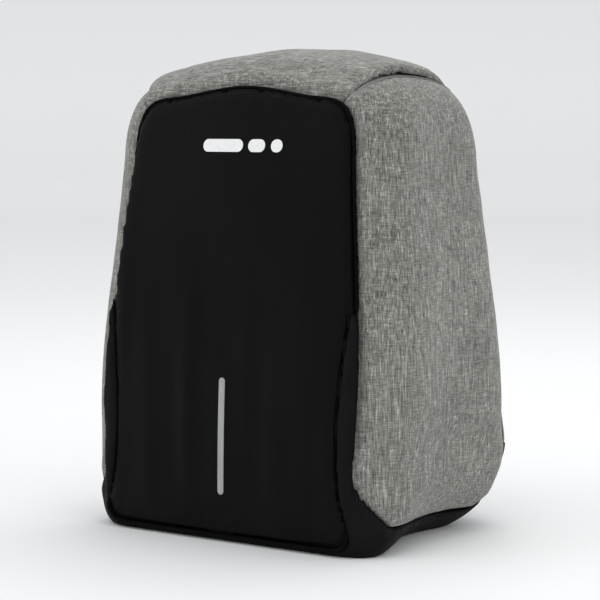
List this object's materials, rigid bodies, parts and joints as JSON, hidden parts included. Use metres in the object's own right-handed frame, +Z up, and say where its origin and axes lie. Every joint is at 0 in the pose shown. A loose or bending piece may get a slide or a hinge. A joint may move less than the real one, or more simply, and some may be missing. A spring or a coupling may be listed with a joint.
{
  "type": "anti-theft day backpack",
  "caption": "Stuffed day backpack with a crowned black front, heathered grey wrap-round gusset, hidden rear zip panel, padded straps, carry handle and charging port.",
  "frame": {"origin": "on the standing surface, under the middle of the whole bag including its straps", "axes": "+Z up, -Y towards the bag's front, +Y towards the wearer's back, +X to the right seen from the front"},
  "size_m": [0.339, 0.2748, 0.4231],
  "materials": {
    "black_cloth": "smooth coated weave, matt",
    "base_cloth": "plain weave, matt",
    "grey_cloth": "heathered melange weave, matt",
    "lining_cloth": "smooth lining cloth",
    "piping_cloth": "matt binding tape",
    "board_plastic": "stiffening sheet",
    "reflective": "glass-bead reflective tape, silver grey",
    "white_print": "heat transfer film, white",
    "zip_tape": "woven tape",
    "zip_coil": "moulded coil",
    "zip_metal": "black enamel",
    "pad_mesh": "spacer mesh over foam",
    "webbing": "woven webbing",
    "buckle_plastic": "moulded acetal",
    "port_rubber": "moulded rubber",
    "socket_steel": "plated shell"
  },
  "bodies": {
    "shell": {"base_tub": "base_cloth", "top_gusset": "grey_cloth", "side_panel_left": "grey_cloth", "side_panel_right": "grey_cloth", "corner_seam_bindings": "lining_cloth", "front_cover": "black_cloth", "front_piping": "piping_cloth", "front_board": "board_plastic", "front_lining": "lining_cloth", "base_board": "board_plastic", "reflective_strip": "reflective", "printed_mark": "white_print", "organizer_pocket": "lining_cloth", "battery_pocket": "lining_cloth", "zip_tape_gusset": "zip_tape", "zip_coil_gusset": "zip_coil", "zip_end_stops": "zip_metal", "hinge_strip": "base_cloth", "port_housing": "port_rubber", "port_socket": "socket_steel"},
    "rear_panel": {"rear_panel": "base_cloth", "rear_board": "lining_cloth", "zip_tape_panel": "zip_tape", "zip_coil_panel": "zip_coil", "back_pad_right": "pad_mesh", "back_pad_left": "pad_mesh", "lumbar_pad": "pad_mesh", "luggage_strap": "webbing", "laptop_sleeve": "lining_cloth", "strap_yoke": "base_cloth", "shoulder_pad_right": "pad_mesh", "shoulder_pad_left": "pad_mesh", "lock_loop_right": "webbing", "lock_loop_left": "webbing", "strap_webbing_right": "webbing", "strap_webbing_left": "webbing", "anchor_wing_right": "base_cloth", "anchor_wing_left": "base_cloth", "handle_anchors": "base_cloth"},
    "zip_slider_upper": {"zip_slider_upper": "zip_metal"},
    "zip_slider_lower": {"zip_slider_lower": "zip_metal"},
    "zip_pull_upper": {"zip_pull_upper": "zip_metal"},
    "zip_pull_lower": {"zip_pull_lower": "zip_metal"},
    "carry_handle": {"handle_webbing": "webbing", "handle_grip": "base_cloth"},
    "ladder_lock_right": {"ladder_lock_right": "buckle_plastic", "strap_tail_right": "webbing"},
    "ladder_lock_left": {"ladder_lock_left": "buckle_plastic", "strap_tail_left": "webbing"},
    "port_cover": {"port_cover": "port_rubber"},
    "sleeve_tab": {"sleeve_tab": "webbing"}
  },
  "joints": [
    {"name": "rear_panel_hinge", "type": "hinge", "parent": "shell", "child": "rear_panel", "pos_m": [0, 0.10597, 0.03739], "axis": [-1, 0, 0], "range_deg": [0, 85]},
    {"name": "zip_slide_upper", "type": "slide", "parent": "shell", "child": "zip_slider_upper", "axis": [-0.1, -0.0902, 0.9909], "range_m": [0, 0.095]},
    {"name": "zip_slide_lower", "type": "slide", "parent": "shell", "child": "zip_slider_lower", "axis": [0.1, 0.0902, -0.9909], "range_m": [0, 0.105]},
    {"name": "zip_pull_upper_swing", "type": "hinge", "parent": "zip_slider_upper", "child": "zip_pull_upper", "pos_m": [0.12608, 0.07763, 0.22187], "axis": [0, -0.9959, -0.0906], "range_deg": [0, 95]},
    {"name": "zip_pull_lower_swing", "type": "hinge", "parent": "zip_slider_lower", "child": "zip_pull_lower", "pos_m": [0.12747, 0.07888, 0.20813], "axis": [0, -0.9959, -0.0906], "range_deg": [0, 95]},
    {"name": "carry_handle_swing", "type": "hinge", "parent": "rear_panel", "child": "carry_handle", "pos_m": [0, 0.08927, 0.39736], "axis": [1, 0, 0], "range_deg": [0, 165]},
    {"name": "ladder_lock_right_tilt", "type": "hinge", "parent": "rear_panel", "child": "ladder_lock_right", "pos_m": [0.068, 0.12443, 0.1435], "axis": [1, 0, 0], "range_deg": [0, 40]},
    {"name": "ladder_lock_left_tilt", "type": "hinge", "parent": "rear_panel", "child": "ladder_lock_left", "pos_m": [-0.068, 0.12443, 0.1435], "axis": [1, 0, 0], "range_deg": [0, 40]},
    {"name": "port_cover_flip", "type": "hinge", "parent": "shell", "child": "port_cover", "pos_m": [-0.15711, 0.0288, 0.2674], "axis": [0, 1, 0], "range_deg": [0, 110]},
    {"name": "sleeve_tab_flip", "type": "hinge", "parent": "rear_panel", "child": "sleeve_tab", "pos_m": [0, 0.0727, 0.31904], "axis": [-1, 0, 0], "range_deg": [0, 80]}
  ]
}
